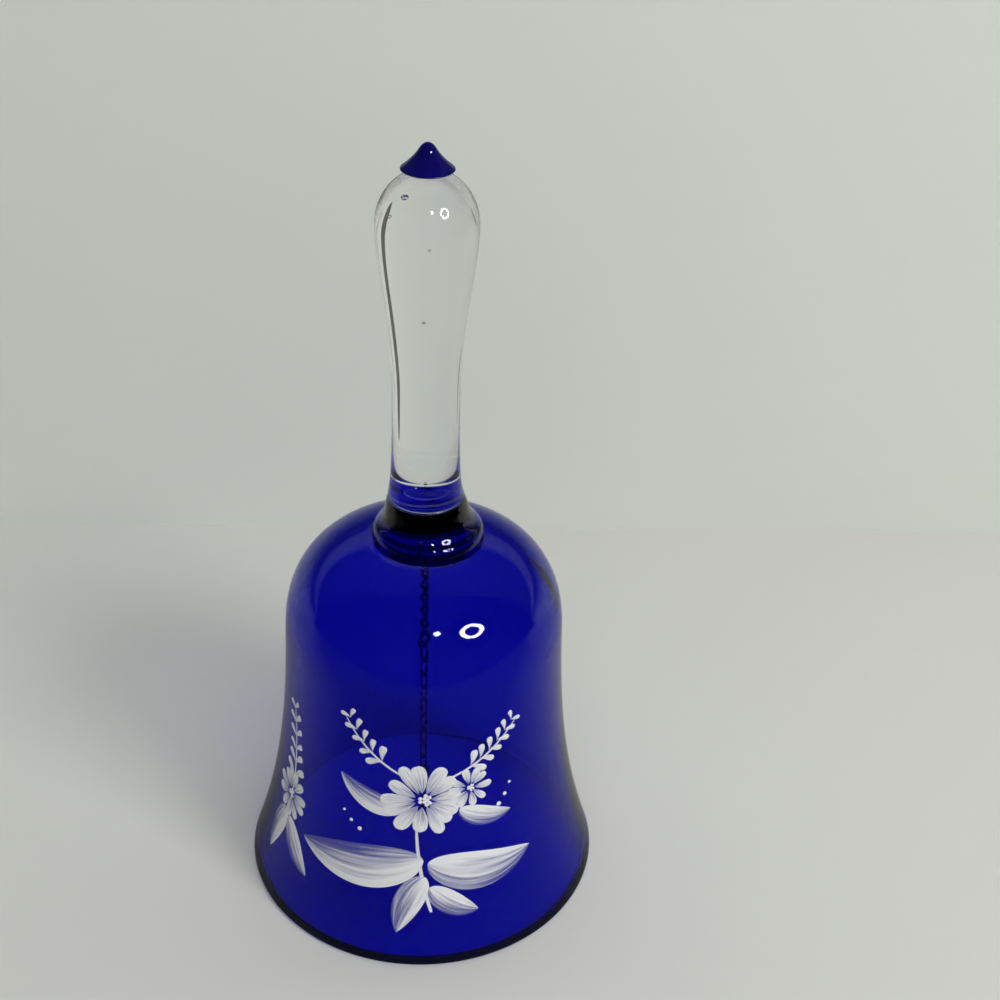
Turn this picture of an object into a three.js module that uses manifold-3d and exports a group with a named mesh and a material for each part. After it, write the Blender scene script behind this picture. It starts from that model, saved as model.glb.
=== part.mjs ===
// A table bell of blown glass: a cobalt cup, a clear collar and a clear club handle fused on its crown,
// a cobalt finial, and a clapper bead on a fine wire chain that hangs from a twisted staple in the crown.
// Millimetres, +Z up. The origin is the centre of the circle on which the rim stands.
import * as THREE from 'three';
import { mergeVertices } from 'three/addons/utils/BufferGeometryUtils.js';
import Module from 'manifold-3d';

// Cup
const MOUTH_RADIUS = 40;
const LIP_THICKNESS = 3.2;
const LIP_ROUND = 1.3;
const CUP_WALL = 2.6;
const SHOULDER_RADIUS = 30;
const SHOULDER_HEIGHT = 65;
const FLARE_LOW_HEIGHT = 24;
const FLARE_LOW_SPREAD = 2.2;
const FLARE_HIGH_HEIGHT = 45;
const FLARE_HIGH_SPREAD = 0.6;
const SHOULDER_RISE = 11;
const SHOULDER_DRAW = 0.4;
const CROWN_HEIGHT = 86.2;
const CROWN_WALL = 2.6;
const CROWN_REACH = 12.8;
const CROWN_FALL = 2.4;
const CROWN_LAND = 0.6;

// Collar
const COLLAR_HEIGHT = 11;
const COLLAR_BASE_RADIUS = 11.7;
const COLLAR_TOP_RADIUS = 7.9;
const COLLAR_EDGE_ROUND = 0.4;
const COLLAR_TOE_RISE = 1.2;
const COLLAR_LEDGE_RADIUS = 11;
const COLLAR_LEDGE_RISE = 3.5;
const COLLAR_LEDGE_SPREAD = 1.37;
const COLLAR_LEDGE_FALL = 0.4;
const COLLAR_FLARE_RISE = 2.1;
const COLLAR_NECK_SPREAD = 0.6;
const COLLAR_NECK_DROP = 1.25;

// Handle
const SEAM_ROUND = 0.3;
const HANDLE_WAIST_RADIUS = 6.8;
const HANDLE_WAIST_RISE = 25.8;
const HANDLE_FOOT_RISE = 4;
const HANDLE_FOOT_RADIUS = 6.9;
const HANDLE_WAIST_REACH = 12.5;
const HANDLE_BELLY_RADIUS = 9.85;
const HANDLE_BELLY_RISE = 58.8;
const HANDLE_BELLY_REACH = 8;
const HANDLE_HEAD_RISE = 10.6;

// Finial
const FINIAL_SEAT_RADIUS = 3.4;
const FINIAL_EDGE_RADIUS = 5.1;
const FINIAL_EDGE_LIFT = 0.3;
const FINIAL_EDGE_THICKNESS = 0.2;
const FINIAL_SKIRT_RADIUS = 3.1;
const FINIAL_SKIRT_RISE = 1.2;
const FINIAL_TIP_REACH = 1.9;
const FINIAL_HEIGHT = 5.35;

// Hanger: a doubled and twisted wire with an eye, set in a socket of the crown
const HANGER_WIRE = 0.8;
const HANGER_STRAND_GAP = 0.4;
const HANGER_TURNS = 4;
const HANGER_DROP = 23.9;
const HANGER_EYE_RADIUS = 1.4;
const SOCKET_DEPTH = 1.4;
const SOCKET_CLEARANCE = 0.3;

// Chain
const LINK_COUNT = 9;
const LINK_WIRE = 0.5;
const LINK_WIDTH = 2.1;
const LINK_LENGTH = 5.4;
const LINK_CLEARANCE = 0.3;
const CHAIN_TURN = Math.PI / 4;

// Clapper: a drilled bead on an eye pin
const PIN_WIRE = 0.8;
const PIN_EYE_RADIUS = 1.4;
const PIN_HEAD_RADIUS = 1.4;
const PIN_HEAD_THICKNESS = 0.7;
const BEAD_DIAMETER = 12;
const BEAD_CLEARANCE = 0.3;

// Fineness of the facets
const CUP_SEGMENTS = 48;
const HANDLE_SEGMENTS = 32;
const SMALL_SEGMENTS = 24;
const LONG_CURVE_STEPS = 10;
const SHORT_CURVE_STEPS = 6;
const EDGE_STEPS = 3;
const WIRE_SIDES = 6;
const BOW_STEPS = 16;
const EYE_STEPS = 14;
const TWIST_STEPS_PER_TURN = 8;
const HANGER_STEPS = 110;

// Finishes
const COBALT_GLASS = { color: 0x0a0a8f, roughness: 0.04, metalness: 0 };
const CLEAR_GLASS = { color: 0xdfe6e3, roughness: 0.03, metalness: 0 };
const DULL_STEEL = { color: 0x6f7072, roughness: 0.42, metalness: 1 };

// Heights that follow from the sizes above
const crownUnderside = CROWN_HEIGHT - CROWN_WALL;
const seamHeight = CROWN_HEIGHT + COLLAR_HEIGHT;
const seatShare = FINIAL_SEAT_RADIUS / HANDLE_BELLY_RADIUS;
const handleTop = seamHeight + HANDLE_BELLY_RISE + HANDLE_HEAD_RISE * Math.sqrt(1 - seatShare * seatShare);
const strandRadius = (HANGER_WIRE + HANGER_STRAND_GAP) / 2;
const socketRadius = strandRadius + HANGER_WIRE / 2 + SOCKET_CLEARANCE;
const hangerEye = crownUnderside - HANGER_DROP;
const bowRadius = (LINK_WIDTH - LINK_WIRE) / 2;
const linkSpan = LINK_LENGTH - LINK_WIRE;

const wasm = await Module();
wasm.setup();

function at(radius, height) {
  return new THREE.Vector2(radius, height);
}

/** Points along several curves in turn, each joint written once. */
function trace(...stretches) {
  const points = [];
  for (const [curve, steps] of stretches) {
    const run = curve.getPoints(steps);
    const meets = points.length > 0 && points[points.length - 1].distanceTo(run[0]) < 1e-6;
    points.push(...(meets ? run.slice(1) : run));
  }
  return points;
}

function straight(from, to) {
  return [new THREE.LineCurve(from, to), 1];
}

function bezier(from, pullFrom, pullTo, to, steps) {
  return [new THREE.CubicBezierCurve(from, pullFrom, pullTo, to), steps];
}

/** A quarter-round or other arc about a centre, between two angles, the short way. */
function arc(centre, radius, start, end, steps = EDGE_STEPS, rise = radius) {
  return [new THREE.EllipseCurve(centre.x, centre.y, radius, rise, start, end, end < start), steps];
}

/** Turns a half section, drawn as radius and height from its foot upwards on the outside, about Z. */
function turned(points, segments) {
  return new THREE.LatheGeometry(points, segments).rotateX(Math.PI / 2);
}

function wireSection(diameter) {
  const corners = [];
  for (let side = 0; side < WIRE_SIDES; side += 1) {
    const angle = (2 * Math.PI * side) / WIRE_SIDES;
    corners.push(at((diameter / 2) * Math.cos(angle), (diameter / 2) * Math.sin(angle)));
  }
  return new THREE.Shape(corners);
}

function solid(geometry) {
  const bare = geometry.clone();
  bare.deleteAttribute('normal');
  bare.deleteAttribute('uv');
  const merged = mergeVertices(bare);
  return new wasm.Manifold(new wasm.Mesh({
    numProp: 3,
    vertProperties: merged.attributes.position.array,
    triVerts: new Uint32Array(merged.index.array),
  }));
}

function fused(...geometries) {
  const [first, ...others] = geometries.map(solid);
  const mesh = others.reduce((whole, other) => whole.add(other), first).getMesh();
  const joined = new THREE.BufferGeometry();
  joined.setAttribute('position', new THREE.BufferAttribute(new Float32Array(mesh.vertProperties), 3));
  joined.setIndex(new THREE.BufferAttribute(new Uint32Array(mesh.triVerts), 1));
  joined.computeVertexNormals();
  return joined;
}

function piece(name, geometry, finish) {
  const mesh = new THREE.Mesh(geometry, new THREE.MeshStandardMaterial(finish));
  mesh.name = name;
  return mesh;
}

/** The flare and shoulder of the cup's wall, from the rim up, drawn in by a wall and lowered by a roof. */
function cupFace(footRadius, wall, roof) {
  const shoulder = at(SHOULDER_RADIUS - wall, SHOULDER_HEIGHT);
  const crownEdge = COLLAR_BASE_RADIUS + CROWN_LAND;
  const crown = at(crownEdge - wall, CROWN_HEIGHT - roof);
  return [
    bezier(
      at(footRadius, LIP_ROUND),
      at(SHOULDER_RADIUS + FLARE_LOW_SPREAD - wall, FLARE_LOW_HEIGHT),
      at(SHOULDER_RADIUS + FLARE_HIGH_SPREAD - wall, FLARE_HIGH_HEIGHT),
      shoulder,
      LONG_CURVE_STEPS,
    ),
    bezier(
      shoulder,
      at(SHOULDER_RADIUS - SHOULDER_DRAW - wall, SHOULDER_HEIGHT + SHOULDER_RISE - wall),
      at(crownEdge + CROWN_REACH - wall, CROWN_HEIGHT - CROWN_FALL - roof),
      crown,
      LONG_CURVE_STEPS,
    ),
  ];
}

/** The blown cup: one wall from the crown to a rounded lip with a ground flat, and the hanger's socket. */
function cup() {
  const inside = MOUTH_RADIUS - LIP_THICKNESS;
  const socketTop = crownUnderside + SOCKET_DEPTH;
  const outerFace = trace(...cupFace(MOUTH_RADIUS, 0, 0));
  const innerFace = trace(...cupFace(inside, CUP_WALL, CROWN_WALL)).reverse();
  const lip = trace(
    arc(at(inside + LIP_ROUND, LIP_ROUND), LIP_ROUND, Math.PI, 1.5 * Math.PI),
    arc(at(MOUTH_RADIUS - LIP_ROUND, LIP_ROUND), LIP_ROUND, 1.5 * Math.PI, 2 * Math.PI),
  );
  const section = [
    at(0, socketTop),
    at(socketRadius, socketTop),
    at(socketRadius, crownUnderside),
    ...innerFace.slice(0, -1),
    ...lip.slice(0, -1),
    ...outerFace,
    at(0, CROWN_HEIGHT),
  ];
  return turned(section, CUP_SEGMENTS);
}

/** The clear collar: an upright toe on the crown, a sloping ledge, and a neck up to the handle's seam. */
function collar() {
  const edge = COLLAR_EDGE_ROUND;
  const neckTop = COLLAR_HEIGHT - SEAM_ROUND;
  const ledge = at(COLLAR_LEDGE_RADIUS, COLLAR_LEDGE_RISE);
  const section = trace(
    straight(at(0, 0), at(COLLAR_BASE_RADIUS - edge, 0)),
    arc(at(COLLAR_BASE_RADIUS - edge, edge), edge, -Math.PI / 2, 0),
    bezier(
      at(COLLAR_BASE_RADIUS, edge),
      at(COLLAR_BASE_RADIUS, edge + COLLAR_TOE_RISE),
      at(ledge.x + COLLAR_LEDGE_SPREAD * COLLAR_LEDGE_FALL, ledge.y - COLLAR_LEDGE_FALL),
      ledge,
      SHORT_CURVE_STEPS,
    ),
    bezier(
      ledge,
      at(ledge.x - COLLAR_LEDGE_SPREAD * COLLAR_FLARE_RISE, ledge.y + COLLAR_FLARE_RISE),
      at(COLLAR_TOP_RADIUS + COLLAR_NECK_SPREAD, neckTop - COLLAR_NECK_DROP),
      at(COLLAR_TOP_RADIUS, neckTop),
      LONG_CURVE_STEPS,
    ),
    arc(at(COLLAR_TOP_RADIUS - SEAM_ROUND, neckTop), SEAM_ROUND, 0, Math.PI / 2),
    straight(at(COLLAR_TOP_RADIUS - SEAM_ROUND, COLLAR_HEIGHT), at(0, COLLAR_HEIGHT)),
  );
  return turned(section, HANDLE_SEGMENTS);
}

/** The solid club handle: a foot that meets the collar, a slim waist, a full belly and a domed head. */
function handle() {
  const foot = COLLAR_TOP_RADIUS;
  const waist = at(HANDLE_WAIST_RADIUS, HANDLE_WAIST_RISE);
  const belly = at(HANDLE_BELLY_RADIUS, HANDLE_BELLY_RISE);
  const headEnd = Math.acos(seatShare);
  const section = trace(
    straight(at(0, 0), at(foot - SEAM_ROUND, 0)),
    arc(at(foot - SEAM_ROUND, SEAM_ROUND), SEAM_ROUND, -Math.PI / 2, 0),
    bezier(
      at(foot, SEAM_ROUND),
      at(HANDLE_FOOT_RADIUS, HANDLE_FOOT_RISE),
      at(HANDLE_WAIST_RADIUS, HANDLE_WAIST_RISE - HANDLE_WAIST_REACH),
      waist,
      LONG_CURVE_STEPS,
    ),
    bezier(
      waist,
      at(HANDLE_WAIST_RADIUS, HANDLE_WAIST_RISE + HANDLE_WAIST_REACH),
      at(HANDLE_BELLY_RADIUS, HANDLE_BELLY_RISE - HANDLE_BELLY_REACH),
      belly,
      LONG_CURVE_STEPS,
    ),
    arc(at(0, HANDLE_BELLY_RISE), HANDLE_BELLY_RADIUS, 0, headEnd, LONG_CURVE_STEPS, HANDLE_HEAD_RISE),
    straight(at(FINIAL_SEAT_RADIUS, handleTop - seamHeight), at(0, handleTop - seamHeight)),
  );
  return turned(section, HANDLE_SEGMENTS);
}

/** The finial: a peaked cap with a thin skirt, drawn up to a small rounded tip. */
function finial() {
  const edgeTop = FINIAL_EDGE_LIFT + FINIAL_EDGE_THICKNESS;
  const section = trace(
    straight(at(0, 0), at(FINIAL_SEAT_RADIUS, 0)),
    straight(at(FINIAL_SEAT_RADIUS, 0), at(FINIAL_EDGE_RADIUS, FINIAL_EDGE_LIFT)),
    straight(at(FINIAL_EDGE_RADIUS, FINIAL_EDGE_LIFT), at(FINIAL_EDGE_RADIUS, edgeTop)),
    bezier(
      at(FINIAL_EDGE_RADIUS, edgeTop),
      at(FINIAL_SKIRT_RADIUS, edgeTop + FINIAL_SKIRT_RISE),
      at(FINIAL_TIP_REACH, FINIAL_HEIGHT),
      at(0, FINIAL_HEIGHT),
      LONG_CURVE_STEPS,
    ),
  );
  return turned(section, SMALL_SEGMENTS);
}

/** The hanger's wire in one run: down one strand of the twist, round the eye and up the other strand. */
function hanger() {
  const top = HANGER_DROP + SOCKET_DEPTH - SOCKET_CLEARANCE;
  const eyeOpening = Math.asin(strandRadius / HANGER_EYE_RADIUS);
  const twistFoot = HANGER_EYE_RADIUS + strandRadius;
  const steps = HANGER_TURNS * TWIST_STEPS_PER_TURN;
  const strand = (side) => {
    const points = [];
    for (let step = 0; step <= steps; step += 1) {
      const rise = step / steps;
      const angle = side + 2 * Math.PI * HANGER_TURNS * rise;
      const height = twistFoot + (top - twistFoot) * rise;
      points.push(new THREE.Vector3(strandRadius * Math.cos(angle), strandRadius * Math.sin(angle), height));
    }
    return points;
  };
  const eye = [];
  for (let step = 0; step <= EYE_STEPS; step += 1) {
    const angle = Math.PI / 2 - eyeOpening - (2 * (Math.PI - eyeOpening) * step) / EYE_STEPS;
    eye.push(new THREE.Vector3(HANGER_EYE_RADIUS * Math.cos(angle), 0, HANGER_EYE_RADIUS * Math.sin(angle)));
  }
  const path = new THREE.CatmullRomCurve3([...strand(0).reverse(), ...eye, ...strand(Math.PI)]);
  return new THREE.ExtrudeGeometry(wireSection(HANGER_WIRE), { extrudePath: path, steps: HANGER_STEPS });
}

/** A wire ring that stands in the XZ plane, with no ring of points on its horizontal middle. */
function standingRing(radius, wire) {
  const halfStep = Math.PI / BOW_STEPS;
  return new THREE.TorusGeometry(radius, wire / 2, WIRE_SIDES, BOW_STEPS)
    .rotateZ(halfStep)
    .rotateX(Math.PI / 2);
}

/** A welded link in the XZ plane: a wire ring whose two bows are drawn apart along straight sides. */
function link() {
  const ring = standingRing(bowRadius, LINK_WIRE);
  const places = ring.attributes.position;
  const halfDraw = linkSpan / 2 - bowRadius;
  for (let index = 0; index < places.count; index += 1) {
    places.setZ(index, places.getZ(index) + Math.sign(places.getZ(index)) * halfDraw);
  }
  ring.computeVertexNormals();
  return ring;
}

/** The clapper's eye pin, about its eye's centre: the eye, a shank through the bead and a flat head. */
function eyePin(shankEnd) {
  const eye = standingRing(PIN_EYE_RADIUS, PIN_WIRE);
  const shankTop = -PIN_EYE_RADIUS;
  const shank = new THREE.CylinderGeometry(PIN_WIRE / 2, PIN_WIRE / 2, shankTop - shankEnd, SMALL_SEGMENTS)
    .rotateX(Math.PI / 2)
    .translate(0, 0, (shankTop + shankEnd) / 2);
  const round = PIN_HEAD_THICKNESS / 2;
  const head = turned(trace(
    straight(at(0, -round), at(PIN_HEAD_RADIUS - round, -round)),
    arc(at(PIN_HEAD_RADIUS - round, 0), round, -Math.PI / 2, Math.PI / 2, 2 * EDGE_STEPS),
    straight(at(PIN_HEAD_RADIUS - round, round), at(0, round)),
  ), SMALL_SEGMENTS).translate(0, 0, shankEnd);
  return fused(eye, shank, head);
}

/** The bead: a ball drilled through for the pin. */
function bead(holeRadius) {
  const radius = BEAD_DIAMETER / 2;
  const mouth = Math.acos(holeRadius / radius);
  const top = radius * Math.sin(mouth);
  return turned(trace(
    arc(at(0, 0), radius, -mouth, mouth, 2 * SHORT_CURVE_STEPS),
    straight(at(holeRadius, top), at(holeRadius, -top)),
  ), SMALL_SEGMENTS);
}

const cupMesh = piece('bell_cup', cup(), COBALT_GLASS);

const collarMesh = piece('crown_collar', collar(), CLEAR_GLASS);
collarMesh.position.z = CROWN_HEIGHT;

const handleMesh = piece('handle', handle(), CLEAR_GLASS);
handleMesh.position.z = seamHeight;

const finialMesh = piece('finial', finial(), COBALT_GLASS);
finialMesh.position.z = handleTop;

// The chain hangs from the hanger's eye: each link rides on the bow above it, a quarter turn round.
const clapper = new THREE.Group();
clapper.rotation.z = CHAIN_TURN;
const hangerMesh = piece('clapper_hanger', hanger(), DULL_STEEL);
hangerMesh.position.z = hangerEye;
clapper.add(hangerMesh);

let bowHeight = hangerEye - HANGER_EYE_RADIUS;
let bowWire = HANGER_WIRE;
for (let count = 1; count <= LINK_COUNT; count += 1) {
  const linkMesh = piece(`chain_link_${String(count).padStart(2, '0')}`, link(), DULL_STEEL);
  const top = bowHeight + (bowWire + LINK_WIRE) / 2 + LINK_CLEARANCE;
  linkMesh.position.z = top - linkSpan / 2;
  linkMesh.rotation.z = (count * Math.PI) / 2;
  clapper.add(linkMesh);
  bowHeight = top - linkSpan;
  bowWire = LINK_WIRE;
}

const pinEye = bowHeight + (bowWire + PIN_WIRE) / 2 + LINK_CLEARANCE - PIN_EYE_RADIUS;
const beadHole = PIN_WIRE / 2 + BEAD_CLEARANCE;
const beadHalfHeight = Math.sqrt((BEAD_DIAMETER / 2) ** 2 - beadHole ** 2);
const beadDrop = PIN_EYE_RADIUS + PIN_WIRE / 2 + BEAD_CLEARANCE + beadHalfHeight;
const shankEnd = -(beadDrop + beadHalfHeight + BEAD_CLEARANCE + PIN_HEAD_THICKNESS / 2);

const pinMesh = piece('clapper_pin', eyePin(shankEnd), DULL_STEEL);
pinMesh.position.z = pinEye;
pinMesh.rotation.z = ((LINK_COUNT + 1) * Math.PI) / 2;
const beadMesh = piece('clapper_bead', bead(beadHole), CLEAR_GLASS);
beadMesh.position.z = pinEye - beadDrop;
clapper.add(pinMesh, beadMesh);

const bell = new THREE.Group();
bell.add(cupMesh, collarMesh, handleMesh, finialMesh, clapper);

export default bell;
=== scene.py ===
"""A hand-blown cobalt glass dinner bell with a clear club handle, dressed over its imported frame.

Heights and reaches come from the frame. Every other size is a field of the piece that has it: in millimetres
on the bell, and in metres in the finishes and the studio.
"""

import bisect
import logging
import math
import random
from dataclasses import dataclass, replace
from enum import Enum
from typing import Callable, ClassVar, Iterable, Sequence

import bpy
from mathutils import Matrix, Vector


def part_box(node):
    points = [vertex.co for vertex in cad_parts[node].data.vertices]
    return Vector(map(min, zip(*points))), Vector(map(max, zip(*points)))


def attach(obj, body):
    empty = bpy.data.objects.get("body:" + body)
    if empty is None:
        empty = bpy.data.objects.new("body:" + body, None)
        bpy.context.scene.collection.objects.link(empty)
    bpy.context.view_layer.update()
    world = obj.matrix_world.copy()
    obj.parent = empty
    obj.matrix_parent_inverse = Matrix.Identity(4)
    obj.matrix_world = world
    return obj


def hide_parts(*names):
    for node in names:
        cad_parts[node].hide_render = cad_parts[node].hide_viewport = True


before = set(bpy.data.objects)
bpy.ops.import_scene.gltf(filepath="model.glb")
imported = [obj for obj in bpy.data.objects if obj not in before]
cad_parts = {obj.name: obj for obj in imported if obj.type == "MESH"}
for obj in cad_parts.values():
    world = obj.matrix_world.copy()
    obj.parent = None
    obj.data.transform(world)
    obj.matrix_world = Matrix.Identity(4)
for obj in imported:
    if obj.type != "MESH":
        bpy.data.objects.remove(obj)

MM = 0.001
QUARTER = math.pi / 2
LOG = logging.getLogger("dinner_bell")

Colour = tuple[float, float, float]
Place = tuple[float, float, float]
Point = tuple[float, float]
Piece = bpy.types.Object
Node = bpy.types.Node
Socket = bpy.types.NodeSocket
Material = bpy.types.Material


class Body(str, Enum):
    """The frame's bodies that take new pieces by name."""

    BELL = "bell"
    CLAPPER = "clapper"


class Slot(str, Enum):
    """The record's material slots."""

    COBALT = "cobalt_glass"
    CLEAR = "clear_glass"
    STEEL = "chain_steel"
    ENAMEL = "white_enamel"


def low_high(node: str) -> tuple[Vector, Vector]:
    """Gives a node's box in millimetres.

    Args:
        node: the frame node's name.

    Returns:
        The box's lowest and highest corners.
    """
    low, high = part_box(node)
    return low / MM, high / MM


class Outline:
    """A lathe outline of (radius, height) points in millimetres, drawn as a pencil runs down a template."""

    def __init__(self, radius: float, height: float) -> None:
        """Puts the pencil down at a radius and a height."""
        self.points: list[Point] = [(radius, height)]

    def line(self, radius: float, height: float, parts: int = 1) -> "Outline":
        """Draws a straight run.

        Args:
            radius: the run's last radius.
            height: the run's last height.
            parts: how many equal steps the run has.

        Returns:
            The outline, for the next stroke.
        """
        start = Vector(self.points[-1])
        end = Vector((radius, height))
        self.points += [tuple(start.lerp(end, step / parts)) for step in range(1, parts + 1)]
        return self

    def curve(self, near: Point, far: Point, end: Point, parts: int) -> "Outline":
        """Draws a cubic curve from where the pencil is.

        Args:
            near: the handle of the curve's first end.
            far: the handle of its last end.
            end: its last point.
            parts: how many steps the curve has.

        Returns:
            The outline, for the next stroke.
        """
        corners = [Vector(point) for point in (self.points[-1], near, far, end)]
        for step in range(1, parts + 1):
            t = step / parts
            shares = ((1 - t) ** 3, 3 * t * (1 - t) ** 2, 3 * t * t * (1 - t), t ** 3)
            self.points.append(tuple(sum((c * s for c, s in zip(corners, shares)), Vector((0, 0)))))
        return self

    def round(self, centre: Point, reach: float, rise: float, turn: Point, parts: int) -> "Outline":
        """Draws part of an ellipse.

        Args:
            centre: the ellipse's centre.
            reach: its half width.
            rise: its half height.
            turn: the first and last angle in degrees, from the outward direction.
            parts: how many steps the round has.

        Returns:
            The outline, for the next stroke.
        """
        first, last = (math.radians(angle) for angle in turn)
        for step in range(1, parts + 1):
            angle = first + (last - first) * step / parts
            self.points.append((centre[0] + reach * math.cos(angle), centre[1] + rise * math.sin(angle)))
        return self


class Bench:
    """The modelling moves that the pieces share, made with Blender's own operators."""

    MERGE = 2e-7
    SHARP = math.radians(50)
    SEAT_NEAR = 0.01

    @staticmethod
    def clear() -> None:
        """Goes back to object mode and deselects everything."""
        Bench.close()
        bpy.ops.object.select_all(action="DESELECT")

    @staticmethod
    def close() -> None:
        """Goes back to object mode."""
        if bpy.context.mode != "OBJECT":
            bpy.ops.object.mode_set(mode="OBJECT")

    @staticmethod
    def open() -> None:
        """Opens the active object in edit mode with everything in it selected."""
        bpy.ops.object.mode_set(mode="EDIT")
        bpy.ops.mesh.select_all(action="SELECT")

    @staticmethod
    def pick(*pieces: Piece) -> None:
        """Selects pieces and nothing else.

        Args:
            pieces: the pieces, of which the first becomes the active one.
        """
        Bench.clear()
        for piece in pieces:
            piece.select_set(True)
        bpy.context.view_layer.objects.active = pieces[0]

    @staticmethod
    def settle(name: str) -> Piece:
        """Names the active object and puts its place into its mesh.

        Args:
            name: the piece's name.

        Returns:
            The piece, at the origin, unturned and unscaled.
        """
        Bench.close()
        bpy.ops.object.transform_apply(location=True, rotation=True, scale=True)
        piece = bpy.context.object
        piece.name = name
        piece.data.name = name
        return piece

    @staticmethod
    def lathe(name: str, outline: Outline, steps: int) -> Piece:
        """Draws an outline by extruding one point along it, and spins it round the Z axis.

        Args:
            name: the piece's name.
            outline: an outline that ends where it starts, or that starts and ends on the axis.
            steps: how many steps the spin has.

        Returns:
            The closed turned piece.
        """
        points = [Vector((radius, 0, height)) * MM for radius, height in outline.points]
        Bench.clear()
        bpy.ops.mesh.primitive_plane_add(size=MM, location=points[0])
        Bench.settle(name)
        Bench.open()
        bpy.ops.mesh.merge(type="CENTER")
        for here, there in zip(points, points[1:]):
            bpy.ops.mesh.extrude_region_move(TRANSFORM_OT_translate={"value": there - here})
        bpy.ops.mesh.select_all(action="SELECT")
        bpy.ops.mesh.spin(steps=steps, angle=math.tau, center=(0, 0, 0), axis=(0, 0, 1))
        bpy.ops.mesh.select_all(action="SELECT")
        bpy.ops.mesh.remove_doubles(threshold=Bench.MERGE)
        bpy.ops.mesh.normals_make_consistent(inside=False)
        Bench.close()
        bpy.ops.object.shade_smooth()
        return bpy.context.object

    @staticmethod
    def select_points(piece: Piece, wanted: Iterable[bool]) -> None:
        """Selects a mesh's points in edit mode.

        Args:
            piece: the active object.
            wanted: for each point, whether it is selected.
        """
        bpy.ops.object.mode_set(mode="EDIT")
        bpy.ops.mesh.select_mode(type="VERT")
        bpy.ops.mesh.select_all(action="DESELECT")
        Bench.close()
        for point, chosen in zip(piece.data.vertices, list(wanted)):
            point.select = chosen
        bpy.ops.object.mode_set(mode="EDIT")

    @staticmethod
    def mark_fused(piece: Piece, fused: Callable[[Vector], float]) -> None:
        """Marks the faces where a piece is fused to its neighbour, so that light passes them unbent.

        Args:
            piece: the piece.
            fused: tells from a face's middle, in millimetres, how far it is fused, from 0 to 1.
        """
        name = Glass.FUSED
        marks = piece.data.attributes.get(name) or piece.data.attributes.new(name, "FLOAT", "FACE")
        for face, mark in zip(piece.data.polygons, marks.data):
            mark.value = max(mark.value, fused(face.center / MM))

    @staticmethod
    def on_seat(height: float, radius: float, aside: float = 0.0) -> Callable[[Vector], float]:
        """Makes a test for the faces of a flat round seat.

        Args:
            height: the seat's height in millimetres.
            radius: the seat's radius.
            aside: how far its middle lies to the right of the axis.

        Returns:
            The test of a face's middle.
        """
        return lambda at: float(
            abs(at.z - height) < Bench.SEAT_NEAR and math.hypot(at.x - aside, at.y) < radius
        )

    @staticmethod
    def wire(name: str, path: Sequence[Vector], diameter: float, sides: int) -> Piece:
        """Bends a round wire along a path.

        Args:
            name: the piece's name.
            path: the wire's middle line, in millimetres.
            diameter: the wire's diameter.
            sides: how many sides the wire's section has.

        Returns:
            The closed wire.
        """
        Bench.clear()
        line = bpy.data.curves.new(name, "CURVE")
        line.dimensions = "3D"
        line.bevel_depth = diameter / 2 * MM
        line.bevel_resolution = sides // 4
        line.use_fill_caps = True
        run = line.splines.new("POLY")
        run.points.add(len(path) - 1)
        for point, place in zip(run.points, path):
            point.co = (*(place * MM), 1)
        piece = bpy.data.objects.new(name, line)
        bpy.context.collection.objects.link(piece)
        Bench.pick(piece)
        bpy.ops.object.convert(target="MESH")
        bpy.ops.object.shade_smooth_by_angle(angle=Bench.SHARP)
        return Bench.settle(name)

    @staticmethod
    def join(*pieces: Piece) -> Piece:
        """Joins pieces into the first one."""
        Bench.pick(*pieces)
        bpy.ops.object.join()
        return pieces[0]

    @staticmethod
    def copy(piece: Piece) -> Piece:
        """Copies a piece with its own mesh."""
        Bench.pick(piece)
        bpy.ops.object.duplicate(linked=False)
        return bpy.context.object


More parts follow.
